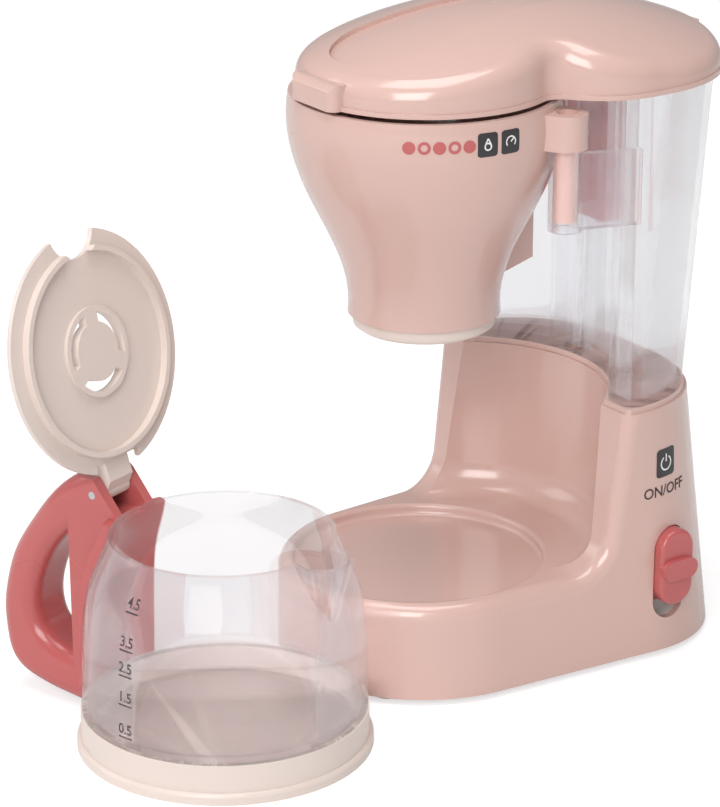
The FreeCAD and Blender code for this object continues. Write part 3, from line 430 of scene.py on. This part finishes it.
@dataclass
class Carrier:
    """Lays flat drawings on the surface of a CAD node.

    Args:
        node: The CAD object that carries the print.
        lift: Height of the print over the surface, in metres.
    """

    node: bpy.types.Object
    lift: float = 0.00012

    def __post_init__(self) -> None:
        """Reads the node's surface."""
        mesh = self.node.data
        corners = [v.co.copy() for v in mesh.vertices]
        self.tree = BVHTree.FromPolygons(corners, [list(p.vertices) for p in mesh.polygons])

    def cast(self, start: Vector, direction: Vector, extra: float = 0.0) -> Optional[Vector]:
        """The lifted point where a ray meets the surface.

        Args:
            start: Start of the ray.
            direction: Direction of the ray.
            extra: More lift, in metres.

        Returns:
            The point, or None if the ray misses.
        """
        spot, normal, _, _ = self.tree.ray_cast(start, direction)
        if spot is None:
            return None
        if normal.dot(direction) > 0:
            normal = -normal
        return spot + normal * (self.lift + extra)


@dataclass(frozen=True)
class DrawingSteps:
    """How finely drawings are cut, in millimetres, degrees and counts.

    Args:
        bar: Length of one step of a straight bar.
        bow: Angle of one step of an arc.
        rows: Rows of a plate.
        columns: Columns of a plate.
        pole: Radius left open at a disc's middle.
        letter_ratio: Font size for a letter height of one.
        letter_steps: Curve resolution of the lettering.
    """

    bar: float = 0.8
    bow: float = 12.0
    rows: int = 17
    columns: int = 9
    pole: float = 0.01
    letter_ratio: float = 1.4
    letter_steps: int = 3


class Drawing:
    """Collects flat shapes, in millimetres, and turns them into one printed mesh."""

    def __init__(self, steps: DrawingSteps = DrawingSteps()) -> None:
        """Starts an empty drawing."""
        self.steps = steps
        self.points: list[Point] = []
        self.faces: list[tuple[int, ...]] = []

    def grid(self, rows: np.ndarray) -> None:
        """Adds a grid of points and the quads between them.

        Args:
            rows: Points as an array of shape (n, m, 2).
        """
        base = len(self.points)
        count, width = rows.shape[:2]
        numbers = base + np.arange(count * width).reshape(count, width)
        quads = np.stack([numbers[:-1, :-1], numbers[:-1, 1:], numbers[1:, 1:], numbers[1:, :-1]], axis=-1)
        self.points.extend(map(tuple, rows.reshape(-1, 2).tolist()))
        self.faces.extend(map(tuple, quads.reshape(-1, 4).tolist()))

    def stroke(self, start: Point, end: Point, width: float) -> None:
        """A straight bar: points on the line from start to end, moved half a width to each side.

        Args:
            start: One end.
            end: The other end.
            width: Width of the bar.
        """
        first, span = np.array(start, float), np.subtract(end, start).astype(float)
        length = float(np.hypot(*span))
        side = np.array([-span[1], span[0]]) / length * width / 2
        places = np.linspace(0, 1, max(3, int(length / self.steps.bar) + 2))[:, None]
        middle = first + span * places
        self.grid(np.stack([middle - side, middle + side], axis=1))

    def bow(self, centre: Point, radius: float, width: float, start: float = 0.0, end: float = FULL_TURN) -> None:
        """An arc-shaped bar: the unit circle's points times two radii.

        Args:
            centre: Middle of the arc.
            radius: Radius of the bar's middle.
            width: Width of the bar.
            start: First angle, in degrees.
            end: Last angle, in degrees.
        """
        count = max(6, int(abs(end - start) / self.steps.bow) + 2)
        turns = np.radians(np.linspace(start, end, count))
        ring = np.stack([np.cos(turns), np.sin(turns)], axis=1)
        radii = (radius - width / 2, radius + width / 2)
        self.grid(np.stack([np.array(centre) + ring * r for r in radii], axis=1))

    def disc(self, centre: Point, radius: float) -> None:
        """A filled round dot."""
        self.bow(centre, (radius + self.steps.pole) / 2, radius - self.steps.pole)

    def plate(self, half_width: float, half_height: float, corner: float) -> None:
        """A filled rectangle whose rows get shorter along a quarter circle at the corners.

        Args:
            half_width: Half of the width.
            half_height: Half of the height.
            corner: Corner radius.
        """
        v = np.linspace(-half_height, half_height, self.steps.rows)
        over = np.maximum(0, np.abs(v) - (half_height - corner))
        cut = corner - np.sqrt(np.maximum(0, corner ** 2 - over ** 2))
        u = (half_width - cut)[:, None] * np.linspace(-1, 1, self.steps.columns)
        self.grid(np.stack([u, np.broadcast_to(v[:, None], u.shape)], axis=-1))

    def words(self, text: str, height: float, bold: float) -> None:
        """Plain lettering, its middle at the drawing's origin.

        Args:
            text: Numbers or ON and OFF.
            height: Letter height.
            bold: Extra width of the strokes.
        """
        curve = bpy.data.curves.new("lettering", "FONT")
        curve.body = text
        curve.align_x = "CENTER"
        curve.size = height * self.steps.letter_ratio
        curve.offset = bold
        curve.resolution_u = self.steps.letter_steps
        holder = bpy.data.objects.new("lettering", curve)
        bpy.context.scene.collection.objects.link(holder)
        flat = holder.evaluated_get(bpy.context.evaluated_depsgraph_get()).to_mesh()
        base = len(self.points)
        self.points.extend((v.co.x, v.co.y - height / 2) for v in flat.vertices)
        self.faces.extend(tuple(base + i for i in p.vertices) for p in flat.polygons)
        bpy.data.objects.remove(holder)
        bpy.data.curves.remove(curve)

    def build(self, name: str, place: Union[RoundField, FlankField], carrier: Carrier,
              extra: float = 0.0) -> bpy.types.Object:
        """Casts every point on the carrier and makes the mesh.

        Args:
            name: Name of the new piece.
            place: Drawing plane.
            carrier: Surface that takes the print.
            extra: More lift, in metres.

        Returns:
            The new object.
        """
        spots = [carrier.cast(*place.ray(u * MM, v * MM), extra) for u, v in self.points]
        kept = [face for face in self.faces if all(spots[i] is not None for i in face)]
        used = sorted({i for face in kept for i in face})
        order = {old: new for new, old in enumerate(used)}
        mesh = bpy.data.meshes.new(name)
        mesh.from_pydata([spots[i] for i in used], [], [[order[i] for i in face] for face in kept])
        mesh.update()
        made = bpy.data.objects.new(name, mesh)
        bpy.context.scene.collection.objects.link(made)
        return made


@dataclass
class Dresser:
    """Gives pieces their finish and their place in the frame.

    Args:
        frame: The loaded frame.
        finishes: Maker of the materials.
    """

    frame: dict[str, Any]
    finishes: FinishMaker = field(default_factory=FinishMaker)

    def paint(self, piece: bpy.types.Object, slot: Slot) -> None:
        """Puts one finish on a piece."""
        piece.data.materials.clear()
        piece.data.materials.append(self.finishes.get(slot))

    def add(self, piece: bpy.types.Object, slot: Slot, body: str, record_slot: Slot) -> None:
        """Finishes a new piece and fixes it to a body.

        Args:
            piece: The new object.
            slot: Its finish.
            body: The CAD body that it rides on.
            record_slot: Not used.
        """
        self.paint(piece, slot)
        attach(piece, body)
        log.info("piece %s rides on %s", piece.name, body)

    def carrier(self, node: str) -> Carrier:
        """The surface of a CAD node, to print on."""
        return Carrier(self.frame["nodes"][node])

    def dress_nodes(self) -> None:
        """Every CAD node takes the finish of its slot in the record."""
        for part in self.frame["record"]["subparts"]:
            self.paint(self.frame["nodes"][part["node"]], Slot(part["material_slot"]))
            log.info("node %s has finish %s", part["node"], part["material_slot"])


@dataclass
class BasketPrint:
    """A row of plain dots and rings and two small badges on the basket.

    Args:
        dresser: Finishes and places the pieces.
        radius: Radius of the basket there, in millimetres.
        reach: Radius that the rays start from, in metres.
        height: Height of the row's middle, in millimetres.
        row_angle: Angle of the row's middle, in degrees.
        badge_angles: Angles of the two badges, in degrees.
        badge_half: Half width of a badge, in millimetres.
        badge_ratio: Height of a badge for a width of one.
        badge_round: Corner radius of a badge, in millimetres.
        pitch: Distance between the shapes of the row, in millimetres.
        dot_radius: Radius of a dot, in millimetres.
        ring_radius: Radius of a ring's middle, in millimetres.
        ring_width: Width of a ring's line, in millimetres.
        sign_lift: Height of a sign over its badge, in metres.
    """

    dresser: Dresser
    radius: float = 41.4
    reach: float = 0.07
    height: float = 174.4
    row_angle: float = -30.0
    badge_angles: tuple[float, float] = (-10.0, 0.6)
    badge_half: float = 3.2
    badge_ratio: float = 1.12
    badge_round: float = 0.8
    pitch: float = 4.4
    dot_radius: float = 1.9
    ring_radius: float = 1.45
    ring_width: float = 0.9
    sign_lift: float = 0.0001

    def place(self, angle: float) -> RoundField:
        """Drawing plane at an angle round the basket."""
        return RoundField((0.0, 0.0), self.reach, angle, self.radius * MM, self.height * MM)

    def row(self) -> Drawing:
        """Dots with rings between them."""
        drawing = Drawing()
        for step in (-2, 0, 2):
            drawing.disc((step * self.pitch, 0), self.dot_radius)
        for step in (-1, 1):
            drawing.bow((step * self.pitch, 0), self.ring_radius, self.ring_width)
        return drawing

    @staticmethod
    def drop() -> Drawing:
        """A drop: a ring under two strokes that meet."""
        drawing = Drawing()
        drawing.bow((0, -0.5), 1.0, 0.45)
        drawing.stroke((-0.9, 0.1), (0, 1.9), 0.42)
        drawing.stroke((0.9, 0.1), (0, 1.9), 0.42)
        return drawing

    @staticmethod
    def dial() -> Drawing:
        """A dial: an open arc with a pointer."""
        drawing = Drawing()
        drawing.bow((0, 0), 1.6, 0.42, -40, 220)
        drawing.stroke((0, 0), (0.9, 1.0), 0.45)
        return drawing

    def build(self) -> None:
        """Makes all the marks."""
        carrier = self.dresser.carrier("filter_basket")
        row = self.row().build("raised_dots", self.place(self.row_angle), carrier)
        self.dresser.add(row, Slot.CORAL, "basket_body", Slot.CORAL)
        for name, angle, sign in zip(("drop", "dial"), self.badge_angles, (self.drop(), self.dial())):
            ground = Drawing()
            ground.plate(self.badge_half, self.badge_half * self.badge_ratio, self.badge_round)
            badge = ground.build(f"basket_badge_{name}", self.place(angle), carrier)
            self.dresser.add(badge, Slot.BADGE, "basket_body", Slot.BODY)
            mark = sign.build(f"basket_sign_{name}", self.place(angle), carrier, self.sign_lift)
            self.dresser.add(mark, Slot.WHITE_INK, "basket_body", Slot.BODY)


@dataclass
class SwitchPrint:
    """The badge and the lettering over the switch.

    Args:
        dresser: Finishes and places the pieces.
        middle: Place of the badge's middle along y, in millimetres.
        badge_height: Height of the badge's middle, in millimetres.
        badge_half: Half of the badge's width and height, in millimetres.
        badge_round: Corner radius of the badge, in millimetres.
        words_height: Height of the lettering's middle, in millimetres.
        letter: Letter height, in millimetres.
        bold: Extra stroke width of the lettering, in millimetres.
        line: Line width of the sign, in millimetres.
        sign_lift: Height of the sign over its badge, in metres.
    """

    dresser: Dresser
    middle: float = 57.2
    badge_height: float = 64.7
    badge_half: tuple[float, float] = (4.1, 4.6)
    badge_round: float = 1.0
    words_height: float = 55.9
    letter: float = 3.5
    bold: float = 0.05
    line: float = 0.55
    sign_lift: float = 0.0001

    def build(self) -> None:
        """Makes the badge, its sign and the lettering."""
        carrier = self.dresser.carrier("base_housing")
        ground, sign, letters = Drawing(), Drawing(), Drawing()
        ground.plate(*self.badge_half, self.badge_round)
        sign.bow((0, -0.2), 2.2, self.line, 120, 420)
        sign.stroke((0, 0.3), (0, 2.8), self.line)
        letters.words("ON/OFF", self.letter, self.bold)
        badge_place = FlankField(self.middle * MM, self.badge_height * MM)
        words_place = FlankField(self.middle * MM, self.words_height * MM)
        badge = ground.build("switch_badge", badge_place, carrier)
        mark = sign.build("switch_sign", badge_place, carrier, self.sign_lift)
        words = letters.build("switch_words", words_place, carrier)
        self.dresser.add(badge, Slot.BADGE, "machine", Slot.BODY)
        self.dresser.add(mark, Slot.WHITE_INK, "machine", Slot.BODY)
        self.dresser.add(words, Slot.GREY_INK, "machine", Slot.BODY)


@dataclass
class JugScale:
    """Plain numbers and level lines printed on the jug's wall.

    Args:
        dresser: Finishes and places the pieces.
        centre: The jug's axis, in metres.
        reach: Radius that the rays start from, in metres.
        radius: Radius of the jug there, in millimetres.
        angle: Angle of the scale round the jug, in degrees.
        line_width: Width of a level line, in millimetres.
        line_half: Half length of a level line, in millimetres.
        letter: Height of the numbers, in millimetres.
        bold: Extra stroke width of the numbers, in millimetres.
        raised: Height of a number's middle over its line, in millimetres.
        levels: Height in millimetres and number of each line.
    """

    dresser: Dresser
    centre: Point = (0.0216, -0.087)
    reach: float = 0.06
    radius: float = 42.2
    angle: float = -75.0
    line_width: float = 0.5
    line_half: float = 2.6
    letter: float = 3.1
    bold: float = 0.06
    raised: float = 2.7
    levels: tuple[tuple[float, str], ...] = (
        (15.8, "0.5"), (25.8, "1.5"), (34.8, "2.5"), (42.5, "3.5"), (53.3, "4.5"))

    def place(self, height: float) -> RoundField:
        """Drawing plane at a height on the jug, in millimetres."""
        return RoundField(self.centre, self.reach, self.angle, self.radius * MM, height * MM)

    def build(self) -> None:
        """Makes a line and a number for each level."""
        carrier = self.dresser.carrier("carafe_jug")
        for index, (height, number) in enumerate(self.levels):
            bar, figures = Drawing(), Drawing()
            bar.stroke((-self.line_half, 0), (self.line_half, 0), self.line_width)
            figures.words(number, self.letter, self.bold)
            for kind, drawing, lift in (("line", bar, 0.0), ("number", figures, self.raised)):
                made = drawing.build(f"scale_{kind}_{index}", self.place(height + lift), carrier)
                self.dresser.add(made, Slot.GREY_INK, "carafe_body", Slot.CLEAR)


@dataclass(frozen=True)
class Lamp:
    """A soft rectangular lamp that faces the toy.

    Args:
        name: Lamp name.
        place: Where it stands, in metres.
        size: Its width and height, in metres.
        power: Its strength in watts.
    """

    name: str
    place: tuple[float, float, float]
    size: Point
    power: float


@dataclass(frozen=True)
class StudioLook:
    """Brightness of the floor and the world.

    Args:
        floor: Floor colour for all rays but the camera's.
        shade: Floor colour that takes the shadows.
        glow: Floor glow that keeps it white.
        world: World strength for light.
        backdrop: World strength for the camera and for clear plastic.
    """

    floor: float = 0.8
    shade: float = 0.5
    glow: float = 0.62
    world: float = 0.34
    backdrop: float = 1.0


@dataclass(frozen=True)
class Studio:
    """Pale floor, soft lamps, pale world and the camera, in metres.

    Args:
        camera: Place of the camera.
        back: Direction from the toy to the camera.
        up: The camera's upward direction.
        lens: Focal length in millimetres.
        sensor: Sensor width in millimetres.
        far: How far the camera sees.
        target: What the lamps face.
        floor_half: Half width of the floor.
        clear_layers: Clear surfaces that a ray may pass.
        lamps: The lamps.
        look: Brightness of the floor and the world.
    """

    camera: tuple[float, float, float] = (0.7986, -0.5749, 0.4446)
    back: tuple[float, float, float] = (0.7720, -0.5329, 0.3465)
    up: tuple[float, float, float] = (-0.2851, 0.1968, 0.9381)
    lens: float = 152.25
    sensor: float = 36.0
    far: float = 20.0
    target: tuple[float, float, float] = (0.0, 0.0, 0.1)
    floor_half: float = 6.0
    clear_layers: int = 32
    lamps: tuple[Lamp, ...] = (
        Lamp("key_front", (1.5, -1.8, 1.3), (1.3, 1.5), 40.0),
        Lamp("fill_left", (-1.5, -1.6, 1.3), (1.1, 1.5), 9.0),
        Lamp("top", (0.1, -0.2, 2.5), (1.7, 1.7), 37.0),
    )
    look: StudioLook = StudioLook()

    def add_lamp(self, lamp: Lamp) -> None:
        """Puts up one lamp."""
        data = bpy.data.lights.new(lamp.name, "AREA")
        data.shape = "RECTANGLE"
        data.size, data.size_y = lamp.size
        data.energy = lamp.power
        made = bpy.data.objects.new(lamp.name, data)
        made.location = lamp.place
        aim = Vector(self.target) - Vector(lamp.place)
        made.rotation_euler = aim.to_track_quat("-Z", "Y").to_euler()
        bpy.context.scene.collection.objects.link(made)

    def floor_material(self) -> bpy.types.Material:
        """White to the camera, with its shadows; a plain pale surface to other rays."""
        material = bpy.data.materials.new("pale_floor")
        material.use_nodes = True
        graph = Graph(material.node_tree)
        pale, shade = (
            graph.wire(graph.node("ShaderNodeBsdfDiffuse", {"Color": (grey, grey, grey, 1.0)}))
            for grey in (self.look.floor, self.look.shade))
        white = {"Color": (1.0, 1.0, 1.0, 1.0), "Strength": self.look.glow}
        glow = graph.wire(graph.node("ShaderNodeEmission", white))
        bright = graph.wire(graph.node("ShaderNodeAddShader", {0: shade, 1: glow}))
        graph.finish(graph.blend(graph.ray("Is Camera Ray"), pale, bright))
        return material

    def add_floor(self) -> None:
        """A square floor at height zero."""
        half = self.floor_half
        corners = [(-half, -half, 0), (half, -half, 0), (half, half, 0), (-half, half, 0)]
        mesh = bpy.data.meshes.new("floor")
        mesh.from_pydata(corners, [], [tuple(range(len(corners)))])
        mesh.materials.append(self.floor_material())
        floor = bpy.data.objects.new("floor", mesh)
        bpy.context.scene.collection.objects.link(floor)

    def add_camera(self) -> None:
        """The photograph's camera."""
        data = bpy.data.cameras.new("photo_camera")
        data.lens = self.lens
        data.sensor_width = self.sensor
        data.clip_end = self.far
        back = Vector(self.back).normalized()
        right = Vector(self.up).normalized().cross(back).normalized()
        turn = Matrix((right, back.cross(right), back)).transposed()
        holder = bpy.data.objects.new("photo_camera", data)
        holder.matrix_world = Matrix.Translation(Vector(self.camera)) @ turn.to_4x4()
        bpy.context.scene.collection.objects.link(holder)
        bpy.context.scene.camera = holder

    def add_world(self) -> None:
        """An even pale world that is white to the camera and through clear plastic."""
        world = bpy.data.worlds.new("pale_world")
        bpy.context.scene.world = world
        world.use_nodes = True
        graph = Graph(world.node_tree)
        seen, glass = graph.ray("Is Camera Ray"), graph.ray("Is Transmission Ray")
        share = seen + glass - seen * glass
        strength = self.look.world + share * (self.look.backdrop - self.look.world)
        ground = graph.node("ShaderNodeBackground", {"Color": (1.0, 1.0, 1.0, 1.0), "Strength": strength})
        graph.finish(graph.wire(ground), "ShaderNodeOutputWorld")

    def build(self) -> None:
        """Makes the whole studio."""
        scene = bpy.context.scene
        scene.view_settings.view_transform = "Standard"
        scene.cycles.transparent_max_bounces = self.clear_layers
        self.add_camera()
        self.add_floor()
        for lamp in self.lamps:
            self.add_lamp(lamp)
        self.add_world()


def main() -> None:
    """Builds the whole scene."""
    logging.basicConfig(level=logging.INFO)
    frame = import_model()
    dresser = Dresser(frame)
    dresser.dress_nodes()
    for piece in (BasketPrint(dresser), SwitchPrint(dresser), JugScale(dresser), Studio()):
        piece.build()
        log.info("%s is built", type(piece).__name__)


if __name__ == "__main__":
    main()
